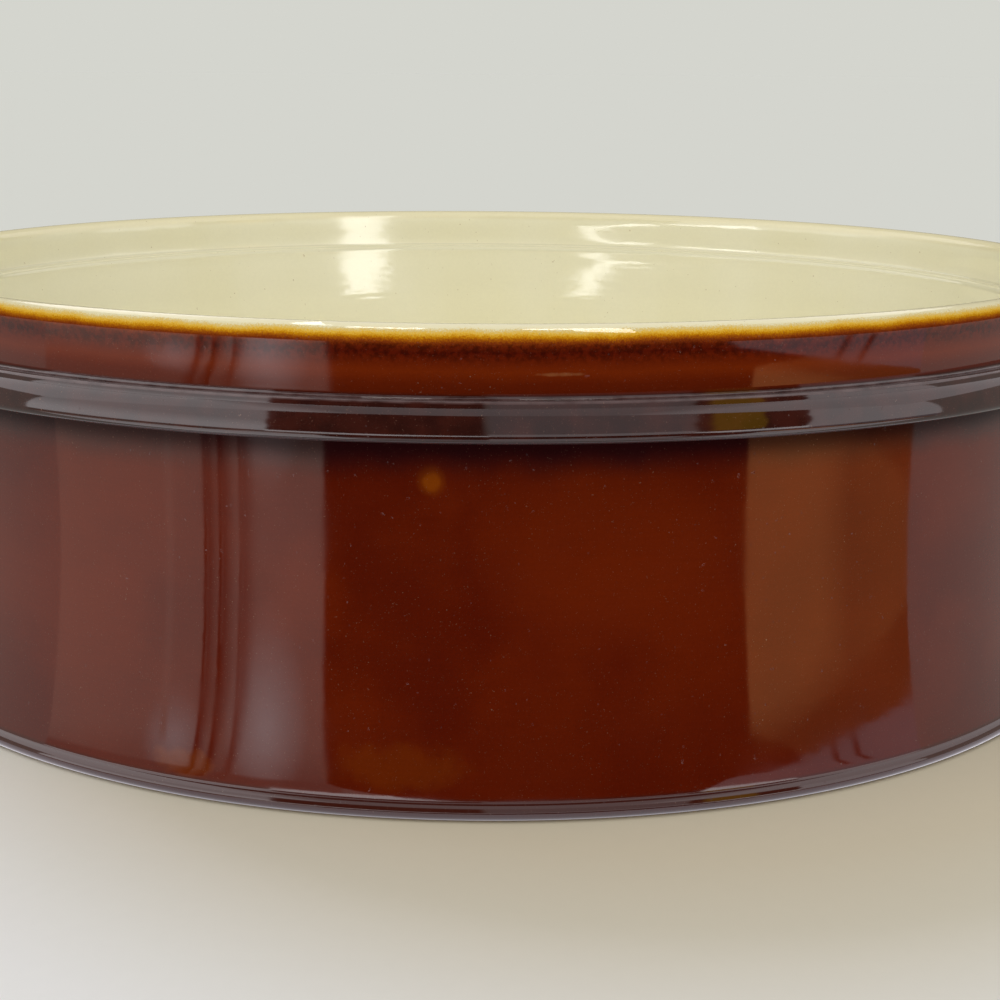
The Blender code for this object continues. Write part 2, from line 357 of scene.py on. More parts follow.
def swept_rings(shape, section):
    """The section carried round the oval, one ring of points for each of its points."""
    rings = []
    for offset, height in section:
        angles = [2 * math.pi * step / PLAN_STEPS for step in range(PLAN_STEPS)]
        rings.append([shape.verts.new(waved_point(angle, offset, height)) for angle in angles])
    for first, second in zip(rings, rings[1:]):
        bridge(shape, first, second)
    return rings


def finished(name, shape, material):
    """The closed shape as a smooth-shaded piece."""
    bmesh.ops.recalc_face_normals(shape, faces=shape.faces)
    mesh = bpy.data.meshes.new(name)
    shape.to_mesh(mesh)
    shape.free()
    mesh.shade_smooth()
    mesh.set_sharp_from_angle(angle=math.radians(SHARP_ANGLE))
    mesh.materials.append(material)
    piece = bpy.data.objects.new(name, mesh)
    bpy.context.scene.collection.objects.link(piece)
    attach(piece, "root")
    return piece


def make_body(material):
    shape = bmesh.new()
    skin = inside_section() + lip(LIP_INSIDE_ANGLE, 0, LIP_STEPS) + outside_section()
    rings = swept_rings(shape, inset(skin, COAT) + foot_section())
    close_ring(shape, rings[0], CLOSING_RINGS)
    close_ring(shape, rings[-1], CLOSING_RINGS)
    return finished("clay_body", shape, material)


def make_brown_coat(material):
    shape = bmesh.new()
    skin = lip(GLAZE_LINE_ANGLE, 0, LIP_BROWN_STEPS) + outside_section()
    rings = swept_rings(shape, skin + inset(skin, GLAZE_THICKNESS)[::-1])
    bridge(shape, rings[-1], rings[0])
    return finished("brown_glaze", shape, material)


def make_cream_coat(material):
    shape = bmesh.new()
    skin = inside_section() + lip(LIP_INSIDE_ANGLE, GLAZE_LINE_ANGLE, LIP_CREAM_STEPS)
    section = skin + inset(skin, GLAZE_THICKNESS)[::-1]
    rings = swept_rings(shape, section)
    close_ring(shape, rings[0], CLOSING_RINGS)
    close_ring(shape, rings[-1], CLOSING_RINGS)
    piece = finished("cream_glaze", shape, material)
    # The outer half of the rim is marked, because the two glazes run into each other there.
    mark = piece.data.attributes.new("outer_side", "FLOAT", "POINT")
    for index, (offset, _) in enumerate(section):
        share = min(max((offset - LIP_CENTRE[0]) / LIP_RADIUS * OUTER_SIDE_RISE, 0.0), 1.0)
        for step in range(PLAN_STEPS):
            mark.data[index * PLAN_STEPS + step].value = share
    return piece


def lug_outline():
    """(offset, plan angle) pairs of the half-moon edge, from its tip back to the wall."""
    pairs = []
    for step in range(LUG_OUTLINE_STEPS + 1):
        turn = math.radians(LUG_OUTLINE_TURN) * step / LUG_OUTLINE_STEPS
        x = HALF_LENGTH + LUG_REACH * math.cos(turn)
        y = LUG_HALF_WIDTH * math.sin(turn)
        angle = math.asin(min(y / HALF_WIDTH, 1.0)) * FIRST_GUESS
        for _ in range(SEARCH_STEPS):
            foot = Vector((HALF_LENGTH * math.cos(angle), HALF_WIDTH * math.sin(angle)))
            along = Vector((-HALF_LENGTH * math.sin(angle), HALF_WIDTH * math.cos(angle)))
            angle += (Vector((x, y)) - foot).dot(along) / along.length_squared * SEARCH_PACE
        side = Vector((math.cos(angle) / HALF_LENGTH, math.sin(angle) / HALF_WIDTH)).normalized()
        foot = Vector((HALF_LENGTH * math.cos(angle), HALF_WIDTH * math.sin(angle)))
        pairs.append(((Vector((x, y)) - foot).dot(side), angle))
    return pairs


def half_angle_at(outline, offset):
    """Plan angle of the lug's edge where it is that far from the wall line."""
    for (far, far_angle), (near, near_angle) in zip(outline, outline[1:]):
        if near <= offset <= far:
            share = (far - offset) / max(far - near, SMALLEST_STEP)
            return far_angle + (near_angle - far_angle) * share
    return outline[0][1] if offset > outline[0][0] else outline[-1][1]


def fillet(distance, radius):
    """How far a fillet of that radius spreads at a distance from the face that it runs into."""
    if distance >= radius:
        return 0.0
    reach = radius - max(distance, 0.0)
    return radius - math.sqrt(radius**2 - reach**2)


def lug_levels():
    """Offsets of the lug's rings, close together at the root and round the nose."""
    root = LUG_ROOT_LEVELS[-1]
    nose = LUG_REACH - LUG_EDGE
    steps = range(1, LUG_FLAT_STEPS + 1)
    flat = [root + (nose - root) * step / LUG_FLAT_STEPS for step in steps]
    tip = [nose + LUG_EDGE * math.sin(math.radians(angle)) for angle in LUG_NOSE_ANGLES]
    return [*LUG_ROOT_LEVELS, *flat, *tip, LUG_REACH - LUG_TIP_GAP]


def lug_ring(outline, offset):
    """Points round the lug at one distance from the wall line, as (plan angle, offset, height)."""
    half_angle = half_angle_at(outline, offset)
    nose = max(offset - (LUG_REACH - LUG_EDGE), 0.0)
    half_height = LUG_THICKNESS / 2 - LUG_EDGE + math.sqrt(max(LUG_EDGE**2 - nose**2, 0.0))
    per_mm = 1.0 / (HALF_WIDTH + offset * HALF_LENGTH / HALF_WIDTH)
    corner = min(half_height, LUG_EDGE, half_angle / per_mm)
    flat_angle = half_angle - corner * per_mm
    flat_height = half_height - corner
    points = []
    for step in range(LUG_STEPS):
        turn = 2 * math.pi * (step + 0.5) / LUG_STEPS
        across, rise = math.cos(turn), math.sin(turn)
        # Points crowd towards the rounded sides, and spread evenly over the flat top and underside.
        spread = max(min(across * SIDE_CROWD, 1.0), -1.0)
        angle = flat_angle * spread + corner * per_mm * across
        lift = flat_height * max(min(rise * EDGE_CROWD, 1.0), -1.0) + corner * rise
        if rise > 0:
            grown = fillet(offset - FLANGE_REACH, LUG_TOP_FILLET)
        else:
            grown = fillet(offset, LUG_ROOT_FILLET)
        length = math.hypot(across, rise)
        angle += grown * across / length * per_mm
        lift += grown * rise / length
        height = LUG_TOP_Z - LUG_THICKNESS / 2 + lift
        if rise < 0:
            span = (angle / per_mm / HOLLOW_HALF_WIDTH) ** 2
            span += ((offset - HOLLOW_MIDDLE) / HOLLOW_HALF_LENGTH) ** 2
            hollow = HOLLOW_DEPTH * max(1.0 - span, 0.0) ** HOLLOW_POWER
            height += hollow * min(-rise * HOLLOW_BLEND, 1.0)
        points.append((angle, offset, height))
    return points


def thin_share(offset, step):
    """How thin the glaze runs at a step round the lug.

    1 on its outer edge, 0 on its flats and at its root.
    """
    rise = abs(math.sin(2 * math.pi * (step + 0.5) / LUG_STEPS))
    nose = (offset - LUG_REACH + LUG_EDGE) / LUG_EDGE
    root = min(max((offset - THIN_START) / THIN_RUN, 0.0), 1.0)
    return min(max(1.0 - rise * THIN_EDGE, nose, 0.0), 1.0) * root


def make_lug(name, turn, material):
    shape = bmesh.new()
    outline = lug_outline()
    rings, shares = [], []
    for offset in lug_levels():
        rings.append([shape.verts.new(oval_point(*point)) for point in lug_ring(outline, offset)])
        shares.extend(thin_share(offset, step) for step in range(LUG_STEPS))
    for first, second in zip(rings, rings[1:]):
        bridge(shape, first, second)
    shape.faces.new(rings[0])
    shape.faces.new(rings[-1])
    bmesh.ops.rotate(shape, verts=shape.verts, matrix=Matrix.Rotation(turn, 3, "Z"))
    piece = finished(name, shape, material)
    mark = piece.data.attributes.new("thin", "FLOAT", "POINT")
    for point, share in zip(mark.data, shares):
        point.value = share
    return piece


# A spot's squared reach at its edge and where it is full, and how much noise is added to it
SPOT_EDGE = 1.0
SPOT_CORE = 0.1
SPOT_RAGGEDNESS = 1.6


def even(level):
    """A factor that is the same in all three channels."""
    return (level, level, level)


class Graph:
    """A node material.

    add() takes a node's inputs by name or number, as sockets to link or as values.
    """

    def __init__(self, name):
        self.material = bpy.data.materials.new(name)
        self.material.use_nodes = True
        self.tree = self.material.node_tree
        self.shader = self.tree.nodes["Principled BSDF"]
        self.place = self.add("ShaderNodeTexCoord", {}).outputs["Object"]
        axes = self.add("ShaderNodeSeparateXYZ", {0: self.place}).outputs
        self.along, self.across, self.height = axes

    def put(self, socket, value):
        if isinstance(value, bpy.types.NodeSocket):
            self.tree.links.new(value, socket)
        else:
            socket.default_value = value

    def add(self, kind, inputs, **settings):
        node = self.tree.nodes.new(kind)
        for key, value in settings.items():
            setattr(node, key, value)
        for key, value in inputs.items():
            self.put(node.inputs[key], value)
        return node

    def set(self, **inputs):
        for key, value in inputs.items():
            self.put(self.shader.inputs[key.replace("_", " ")], value)

    def math(self, operation, first, second=0.0):
        return self.add("ShaderNodeMath", {0: first, 1: second}, operation=operation).outputs[0]

    def noise(self, size, detail=2.0, stretch=(1.0, 1.0, 1.0), rough=0.5):
        """Noise from 0 to 1 with features of about that size in millimetres."""
        at = self.add("ShaderNodeMapping", {"Vector": self.place, "Scale": stretch}).outputs[0]
        inputs = {"Vector": at, "Scale": 1.0 / (size * MM), "Detail": detail, "Roughness": rough}
        return self.add("ShaderNodeTexNoise", inputs).outputs["Fac"]

    def centred(self, noise, span):
        """The noise spread about zero, over that span."""
        return self.math("MULTIPLY", self.math("SUBTRACT", noise, 0.5), span)

    def spot(self, middle, radii, ragged):
        """From 1 in the middle of an oval spot on the front of the dish to 0 at its ragged edge.

        Sizes are in millimetres, along the dish and up it.
        """
        reach = 0.0
        for value, centre, radius in zip((self.along, self.height), middle, radii):
            share = self.math("DIVIDE", self.math("SUBTRACT", value, centre * MM), radius * MM)
            reach = self.math("ADD", self.math("MULTIPLY", share, share), reach)
        reach = self.math("ADD", reach, self.centred(self.noise(ragged), SPOT_RAGGEDNESS))
        in_front = self.math("LESS_THAN", self.across, 0.0)
        return self.math("MULTIPLY", self.remap(reach, SPOT_EDGE, SPOT_CORE), in_front)

    def remap(self, value, low, high, new_low=0.0, new_high=1.0):
        inputs = {"Value": value, 1: low, 2: high, 3: new_low, 4: new_high}
        return self.add("ShaderNodeMapRange", inputs, interpolation_type="SMOOTHSTEP").outputs[0]

    def by_height(self, heights, new_low=0.0, new_high=1.0):
        """From the new low to the new high between two heights in millimetres."""
        low, high = heights
        return self.remap(self.height, low * MM, high * MM, new_low, new_high)

    def between(self, foot, top):
        """1 between the heights at the foot and those at the top, 0 beyond them."""
        return self.math("MULTIPLY", self.by_height(foot), self.by_height(top))

    def mix(self, share, first, second, blend="MIX"):
        node = self.add("ShaderNodeMix", {}, data_type="RGBA", blend_type=blend)
        self.put(node.inputs[0], share)
        for socket, value in ((node.inputs[6], first), (node.inputs[7], second)):
            self.put(socket, value if isinstance(value, bpy.types.NodeSocket) else (*value, 1.0))
        return node.outputs[2]

    def tint(self, colour, tone, mask, strength):
        """The colour with a tone laid over it where the mask is."""
        return self.mix(self.math("MULTIPLY", mask, strength), colour, tone)

    def ramp(self, value, low, high, stops):
        """Colours by value. Each stop is (value, colour)."""
        node = self.add("ShaderNodeValToRGB", {0: self.linear(value, low, high)})
        elements = node.color_ramp.elements
        while len(elements) < len(stops):
            elements.new(0.5)
        for element, (stop, colour) in zip(elements, stops):
            element.position = (stop - low) / (high - low)
            element.color = (*colour, 1.0)
        return node.outputs[0]

    def linear(self, value, low, high):
        return self.add("ShaderNodeMapRange", {"Value": value, 1: low, 2: high}).outputs[0]

    def bump(self, height, depth, normal=None):
        """Normal of a surface whose height, from 0 to 1, spans that depth in millimetres."""
        inputs = {"Height": height, "Distance": depth * MM, "Strength": 1.0}
        node = self.add("ShaderNodeBump", inputs)
        if normal is not None:
            self.put(node.inputs["Normal"], normal)
        return node.outputs[0]


# Colours of the glazes and the clay
CREAM = (0.83, 0.785, 0.555)
CREAM_PALE = (0.85, 0.81, 0.60)
RIM_CREAM = (0.77, 0.70, 0.45)
# Painted shade on the lid gallery
GALLERY_SHADE = (0.71, 0.665, 0.455)
CREAM_SPECK = (0.42, 0.30, 0.14)
BROWN = (0.103, 0.0081, 0.0008)
BROWN_DARK = (0.078, 0.0052, 0.0006)
BROWN_LIGHT = (0.140, 0.0140, 0.0010)
AMBER = (0.22, 0.045, 0.0012)
# Pooled glaze and painted shade under the flange
POOLED_AND_SHADE = (0.016, 0.0028, 0.0042)
FLANGE_DARK = (0.022, 0.0042, 0.0028)
FLANGE_LIGHT = (0.040, 0.0075, 0.0045)
FOOT_TONE = (0.045, 0.0080, 0.0045)
# Painted reflection: pale mauve sheen on the flat ledge above the bead
LEDGE_SHEEN = (0.085, 0.045, 0.042)
DUST = (0.20, 0.11, 0.075)
SCUFFED = (0.25, 0.088, 0.030)
CLAY_DARK = (0.46, 0.33, 0.20)
CLAY_LIGHT = (0.64, 0.51, 0.36)
IRON = (0.16, 0.09, 0.05)
GLAZE_IOR = 1.5

# Heights in millimetres between which the brown glaze changes its tone, from the foot up
FOOT_TONE_Z = (4.4, 3.2)
SUNK_Z = (4.0, 36.0)
POOL_Z = (62.0, 69.0)
FLANGE_TONE_Z = (69.6, 70.4)
LEDGE_FOOT_Z = (75.6, 75.75)
LEDGE_TOP_Z = (76.35, 76.15)
COLLAR_TONE_Z = (76.0, 76.9)
MOTTLE_FOOT_Z = (81.0, 83.4)
MOTTLE_TOP_Z = (85.4, 84.6)
# The corner under the flange, on the wall and on the band's edge, and the gloss in it and beyond it
CORNER_WALL_Z = (67.6, 63.2)
CORNER_EDGE_Z = (69.2, 69.45)
CORNER_GLOSS = (0.15, 0.5)
# The lid gallery's painted shade, the rim and its grit on the cream glaze
GALLERY_FOOT_Z = (77.2, 77.8)
GALLERY_TOP_Z = (79.3, 78.9)
RIM_CREAM_Z = (85.4, 87.2)
GRIT_Z = (86.2, 87.4)

# Middle (along, height), radii, size of the ragged edge and strength of places where the glaze is thin
THIN_SPOTS = (
    ((-4.6, 61.3), (2.9, 3.2), 7.0, 0.3),
    ((-4.4, 61.4), (1.8, 2.2), 5.0, 0.8),
    ((-11.0, 9.5), (15.0, 5.5), 5.0, 0.20),
    ((-50.2, 6.5), (7.0, 3.2), 3.0, 0.35),
)
# The same of a pale scuff on the collar
SCUFF = ((17.2, 80.0), (5.0, 0.42), 1.8, 0.55)
# Middle, radii, size of the ragged edge, strength and colour of the broad clouds in the glaze
CLOUDS = (
    ((-9.0, 38.0), (17.0, 30.0), 12.0, 0.6, BROWN_DARK),
    ((25.0, 50.0), (24.0, 20.0), 12.0, 0.55, BROWN_LIGHT),
)

# Heights in millimetres and colours of the run from brown to cream on the outer side of the rim
RIM_RUN_FOOT = 78.0
RIM_RUN = (
    (78.4, (0.110, 0.0105, 0.0010)),
    (80.4, (0.150, 0.0165, 0.0012)),
    (82.2, (0.112, 0.0105, 0.0012)),
    (83.6, (0.072, 0.0050, 0.0010)),
    (84.6, (0.105, 0.0110, 0.0018)),
    (85.3, (0.20, 0.032, 0.0028)),
    (85.8, (0.37, 0.100, 0.0020)),
    (86.25, (0.58, 0.25, 0.003)),
    (86.7, (0.74, 0.44, 0.045)),
    (87.1, (0.70, 0.51, 0.17)),
    (87.5, RIM_CREAM),
)


def rim_run(graph):
    """Colour of the rim's outer side, feathered and finely speckled where the glazes meet."""
    broad = graph.centred(graph.noise(8.0, 3.0), 1.1 * MM)
    fine = graph.centred(graph.noise(0.27, 2.0, rough=0.65), 1.3 * MM)
    height = graph.math("ADD", graph.math("ADD", graph.height, broad), fine)
    stops = [(height_mm * MM, colour) for height_mm, colour in RIM_RUN]
    colour = graph.ramp(height, RIM_RUN_FOOT * MM, HEIGHT * MM, stops)
    # Mottled just below the amber
    patches = graph.remap(graph.noise(1.1, 3.0, rough=0.65), 0.36, 0.64)
    mottle = graph.mix(patches, even(0.45), even(1.2))
    share = graph.math("MULTIPLY", graph.between(MOTTLE_FOOT_Z, MOTTLE_TOP_Z), 0.75)
    return graph.mix(share, colour, mottle, "MULTIPLY")


def glassy(graph, colour):
    """The brown glaze's surface: brushed streaks, speckle, pale specks and pin-pricks in the glass."""
    brushing = graph.noise(6.0, 2.0, (0.5, 0.5, 11.0))
    speckle = graph.noise(0.5, 2.0, rough=0.7)
    speckled = graph.mix(speckle, even(0.5), even(1.5))
    brushed = graph.mix(brushing, even(0.75), even(1.25))
    colour = graph.mix(0.45, colour, graph.mix(0.5, speckled, brushed), "MULTIPLY")
    specks = graph.remap(graph.noise(0.42, 1.0), 0.735, 0.79)
    crowd = graph.remap(graph.noise(11.0, 2.0), 0.42, 0.66)
    specks = graph.math("MULTIPLY", specks, graph.math("MULTIPLY", crowd, 0.8))
    colour = graph.mix(specks, colour, DUST)
    fine = graph.remap(graph.noise(0.26, 1.0), 0.70, 0.76)
    colour = graph.tint(colour, DUST, fine, 0.35)
    pits = graph.remap(graph.noise(0.9, 1.0), 0.76, 0.80)
    roughness = graph.remap(graph.noise(14.0), 0.3, 0.7, 0.035, 0.07)
    peel = graph.bump(graph.noise(3.2, 1.0), 0.0035)
    surface = graph.bump(pits, -0.012, peel)
    graph.set(Base_Color=colour, Roughness=roughness, Normal=surface, IOR=GLAZE_IOR)


def brown_glaze():
    graph = Graph("brown_glaze")
    clouds = graph.noise(24.0, 3.0)
    wall = graph.mix(graph.remap(clouds, 0.32, 0.68), BROWN_DARK, BROWN_LIGHT)
    wall = graph.mix(0.5, wall, BROWN)
    for middle, radii, ragged, share, tone in CLOUDS:
        wall = graph.tint(wall, tone, graph.spot(middle, radii, ragged), share)
    wall = graph.mix(graph.by_height(SUNK_Z, 0.45, 0.0), wall, BROWN_DARK)
    # The glaze runs thin and amber in places. Under the flange it is painted dark, both for glaze that
    # pools there and as painted shade from the flange.
    for middle, radii, ragged, share in THIN_SPOTS:
        wall = graph.tint(wall, AMBER, graph.spot(middle, radii, ragged), share)
    pool_edge = graph.math("ADD", graph.height, graph.math("MULTIPLY", graph.noise(9.0), 3.0 * MM))
    pooled_and_shade = graph.remap(pool_edge, POOL_Z[0] * MM, POOL_Z[1] * MM)
    # Painted shade under the flange, mixed with the tone of pooled glaze
    wall = graph.tint(wall, POOLED_AND_SHADE, pooled_and_shade, 0.92)
    wall = graph.mix(graph.by_height(FOOT_TONE_Z), wall, FOOT_TONE)
    flange_tone = graph.mix(graph.remap(graph.noise(5.0), 0.3, 0.7), FLANGE_DARK, FLANGE_LIGHT)
    lower = graph.mix(graph.by_height(FLANGE_TONE_Z), wall, flange_tone)
    collar = graph.mix(graph.by_height(COLLAR_TONE_Z), lower, rim_run(graph))
    # Painted reflection: a patchy pale mauve sheen laid on the flat ledge above the bead
    ledge = graph.between(LEDGE_FOOT_Z, LEDGE_TOP_Z)
    collar = graph.tint(collar, LEDGE_SHEEN, ledge, graph.remap(graph.noise(4.0), 0.2, 0.7))
    middle, radii, ragged, share = SCUFF
    collar = graph.tint(collar, SCUFFED, graph.spot(middle, radii, ragged), share)
    glassy(graph, collar)
    # Little light reaches the corner under the flange, so it hardly shines.
    on_wall = graph.by_height(CORNER_WALL_Z, *CORNER_GLOSS)
    on_edge = graph.by_height(CORNER_EDGE_Z, *CORNER_GLOSS)
    graph.set(Specular_IOR_Level=graph.math("MAXIMUM", on_wall, on_edge))
    return graph.material


def lug_glaze():
    """The same brown, which runs thin and amber round the lug's edge."""
    graph = Graph("lug_glaze")
    clouds = graph.noise(16.0, 3.0)
    brown = graph.mix(graph.remap(clouds, 0.32, 0.68), BROWN_DARK, BROWN_LIGHT)
    thin = graph.add("ShaderNodeAttribute", {}, attribute_name="thin").outputs["Fac"]
    thin = graph.math("MULTIPLY", thin, graph.remap(graph.noise(3.0, 2.0), 0.2, 0.7, 0.1, 0.75))
    glassy(graph, graph.mix(thin, brown, AMBER))
    return graph.material


def cream_glaze():
    graph = Graph("cream_glaze")
    clouds = graph.noise(30.0, 3.0, (1.0, 1.0, 0.35))
    inside = graph.mix(graph.remap(clouds, 0.3, 0.7), CREAM, CREAM_PALE)
    inside = graph.mix(graph.by_height(RIM_CREAM_Z), inside, RIM_CREAM)
    # Painted shade: the lid gallery's nose and ledge are darker
    inside = graph.mix(graph.between(GALLERY_FOOT_Z, GALLERY_TOP_Z), inside, GALLERY_SHADE)
    outer = graph.add("ShaderNodeAttribute", {}, attribute_name="outer_side").outputs["Fac"]
    colour = graph.mix(outer, inside, rim_run(graph))
    grain = graph.mix(graph.noise(0.8, 2.0, rough=0.7), even(0.6), even(1.4))
    colour = graph.mix(0.08, colour, grain, "MULTIPLY")
    specks = graph.remap(graph.noise(0.75, 1.0), 0.765, 0.80)
    colour = graph.tint(colour, CREAM_SPECK, specks, 0.55)
    # Rings and dimples of the pouring, and grit on the rim
    rings = graph.bump(graph.noise(10.0, 1.0, (0.9, 0.9, 4.0)), 0.06)
    dimples = graph.bump(graph.noise(1.1, 1.0), 0.004, rings)
    grit = graph.math("MULTIPLY", graph.noise(0.55, 2.0), graph.by_height(GRIT_Z))
    surface = graph.bump(grit, 0.03, dimples)
    graph.set(Base_Color=colour, Roughness=0.07, Normal=surface, IOR=GLAZE_IOR)
    return graph.material


def stoneware():
    graph = Graph("stoneware")
    grain = graph.noise(0.9, 4.0, rough=0.7)
    clay = graph.mix(graph.remap(grain, 0.3, 0.7), CLAY_DARK, CLAY_LIGHT)
    colour = graph.mix(graph.remap(graph.noise(1.7, 1.0), 0.70, 0.76), clay, IRON)
    graph.set(Base_Color=colour, Roughness=0.85, Normal=graph.bump(grain, 0.12))
    return graph.material


def make_dish():
    brown, lugs, cream = brown_glaze(), lug_glaze(), cream_glaze()
    body = make_body(stoneware())
    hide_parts("stoneware_body")
    brown_coat = make_brown_coat(brown)
    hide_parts("brown_glaze_coat")
    cream_coat = make_cream_coat(cream)
    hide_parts("cream_glaze_coat")
    for side, turn in (("right", 0.0), ("left", math.pi)):
        lug = make_lug("lug_" + side, turn, lugs)
        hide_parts("lug_handle_" + side)


# Camera at the photograph's angle
CAMERA_AT = (12.90, -327.11, 128.23)
CAMERA_YAW = -1.445
CAMERA_PITCH = 16.903
CAMERA_ROLL = 0.346
CAMERA_LENS = 51.224
SENSOR_WIDTH = 36.0
CLIP_START = 0.01


def make_camera():
    yaw, pitch, roll = (math.radians(angle) for angle in (CAMERA_YAW, CAMERA_PITCH, CAMERA_ROLL))
    ahead = math.cos(pitch)
    forward = Vector((math.sin(yaw) * ahead, math.cos(yaw) * ahead, -math.sin(pitch)))
    level = Vector((math.cos(yaw), -math.sin(yaw), 0.0))
    upright = level.cross(forward)
    right = level * math.cos(roll) + upright * math.sin(roll)
    up = upright * math.cos(roll) - level * math.sin(roll)
    camera = bpy.data.objects.new("camera", bpy.data.cameras.new("camera"))
    camera.data.lens = CAMERA_LENS
    camera.data.sensor_width = SENSOR_WIDTH
    camera.data.clip_start = CLIP_START
    turn = Matrix((right, up, -forward)).transposed().to_4x4()
    camera.matrix_world = Matrix.Translation(Vector(CAMERA_AT) * MM) @ turn
    bpy.context.scene.collection.objects.link(camera)
    bpy.context.scene.camera = camera


# Stage. The floor doesn't show in the glaze, which mirrors the studio cards instead.
FLOOR = (0.70, 0.705, 0.655)
# Distances in metres from a point right of the middle of the dish, and the floor's colour there:
# painted shadow and warm bounced light close round the dish, then a painted brighter ring before the
# even far floor
FLOOR_MIDDLE = (0.04, 0.0, 0.0)
FLOOR_PAINTED_SHADE = (
    (0.112, (0.62, 0.555, 0.415)),
    (0.134, (0.635, 0.588, 0.47)),
    (0.143, (0.69, 0.65, 0.55)),
    (0.166, (0.785, 0.77, 0.72)),
    (0.178, (0.825, 0.815, 0.79)),
    (0.195, (0.86, 0.86, 0.84)),
    (0.300, (0.86, 0.86, 0.84)),
    (0.800, FLOOR),
)
# Distances that the tones are spread over
FLOOR_SPAN = (0.1, 0.8)
FLOOR_RADIUS = 30.0
FLOOR_EDGES = 128
FLOOR_DROP = 0.0001
WORLD_LIGHT = 0.62
KEY_LIGHT = 1.2
KEY_TILT = (32.0, -5.0)
KEY_SPREAD = 80.0


def open_level():
    """How brightly a white floor far from the dish renders."""
    slope = math.cos(math.radians(KEY_TILT[0])) * math.cos(math.radians(KEY_TILT[1]))
    return WORLD_LIGHT + KEY_LIGHT * slope / math.pi


def floor_material():
    graph = Graph("floor")
    ends = {0: graph.place, 1: FLOOR_MIDDLE}
    away = graph.add("ShaderNodeVectorMath", ends, operation="DISTANCE").outputs["Value"]
    # Painted shadow, bounced light and a brighter ring on the floor round the dish
    shade = graph.ramp(away, *FLOOR_SPAN, FLOOR_PAINTED_SHADE)
    grain = graph.mix(graph.noise(3.0, 3.0), even(0.7), even(1.3))
    shade = graph.mix(0.04, shade, grain, "MULTIPLY")
    graph.set(Base_Color=shade, Roughness=1.0, Specular_IOR_Level=0.0)
    return graph.material


def stage_mesh(name, points, faces, material):
    mesh = bpy.data.meshes.new(name)
    mesh.from_pydata(points, [], faces)
    mesh.materials.append(material)
    piece = bpy.data.objects.new(name, mesh)
    bpy.context.scene.collection.objects.link(piece)
    return piece


def make_floor():
    turns = [2 * math.pi * step / FLOOR_EDGES for step in range(FLOOR_EDGES)]
    edge = [(FLOOR_RADIUS * math.cos(t), FLOOR_RADIUS * math.sin(t), -FLOOR_DROP) for t in turns]
    floor = stage_mesh("floor", edge, [tuple(range(FLOOR_EDGES))], floor_material())
    floor.visible_glossy = False


def glow_material(name, colour, strength, soft):
    """Plain light, which on a soft card fades out to its edge."""
    material = bpy.data.materials.new(name)
    material.use_nodes = True
    tree = material.node_tree
    tree.nodes.remove(tree.nodes["Principled BSDF"])
    glow = tree.nodes.new("ShaderNodeEmission")
    glow.inputs["Color"].default_value = (*colour, 1.0)
    glow.inputs["Strength"].default_value = strength
    shader = glow.outputs[0]
    if soft:
        clear = tree.nodes.new("ShaderNodeBsdfTransparent")
        cover = tree.nodes.new("ShaderNodeAttribute")
        cover.attribute_name = "cover"
        both = tree.nodes.new("ShaderNodeMixShader")
        tree.links.new(cover.outputs["Fac"], both.inputs[0])
        tree.links.new(clear.outputs[0], both.inputs[1])
        tree.links.new(shader, both.inputs[2])
        shader = both.outputs[0]
    tree.links.new(shader, tree.nodes["Material Output"].inputs["Surface"])
    return material


OVAL_STEPS = 24
# Elevations of a leaning strip in degrees, and how far it has swung to the side there
SWING = ((-24.0, 0.0), (-13.5, 0.0), (-11.0, -1.4), (-9.4, -3.2), (-7.0, -6.0))


def box(west, east, low, high):
    return [(west, low), (east, low), (east, high), (west, high)]


def oval(azimuth, elevation, half_width, half_height):
    turns = [2 * math.pi * step / OVAL_STEPS for step in range(OVAL_STEPS)]
    return [(azimuth + half_width * math.cos(t), elevation + half_height * math.sin(t)) for t in turns]


def leaning(west, east):
    """An upright strip that swings to the left at its top."""
    left = [(west + shift, rise) for rise, shift in SWING]
    right = [(east + shift, rise) for rise, shift in SWING[::-1]]
    return left + right


# Studio cards that only the gloss shows, later ones in front of earlier ones. Each has an outline in
# degrees of azimuth and elevation seen from the dish front, the shares of its width and height that
# fade out, and the colour and strength of its light.
CARD_ORIGIN = (0.0, -0.098, 0.072)
CARD_DISTANCE = 2.0
CARD_GAP = 0.004
CARD_STEPS = 8
GREY = (0.97, 0.95, 0.97)
ROSE = (1.0, 0.79, 0.69)
ORANGE = (1.0, 0.42, 0.15)
MAUVE = (0.95, 0.92, 1.0)
YELLOW = (1.0, 0.58, 0.02)
DARK = (1.0, 0.65, 0.55)
HARD = (0.0, 0.0)
FRONT_WINDOW = (
    (-24.4, -32.0), (-24.4, -15.0), (-23.6, -11.8), (-22.6, -9.7), (-21.2, -8.6), (-19.0, -7.6),
    (-15.5, -6.6), (-11.0, -5.4), (-4.0, -4.4), (0.0, -4.2), (33.0, -4.2), (35.0, -5.4),
    (36.5, -6.8), (38.5, -8.6), (40.4, -9.4), (47.5, -10.0), (52.4, -10.5), (49.4, -11.1),
    (46.0, -11.3), (43.1, -11.9), (43.1, -32.0),
)
ABOVE_LEFT = (
    (-31.0, -1.3), (1.5, -1.3), (1.5, 8.0), (1.3, 25.0), (1.0, 46.0), (-39.7, 46.0), (-38.0, 41.0),
    (-35.0, 33.0), (-33.0, 25.0), (-32.0, 16.0), (-31.0, 8.0),
)
ABOVE_MIDDLE = (
    (1.5, 2.0), (32.0, 2.0), (32.0, 8.0), (32.3, 17.0), (34.0, 25.0), (36.0, 34.0), (39.0, 42.0),
    (40.5, 46.0), (1.0, 46.0), (1.3, 25.0), (1.5, 8.0),
)
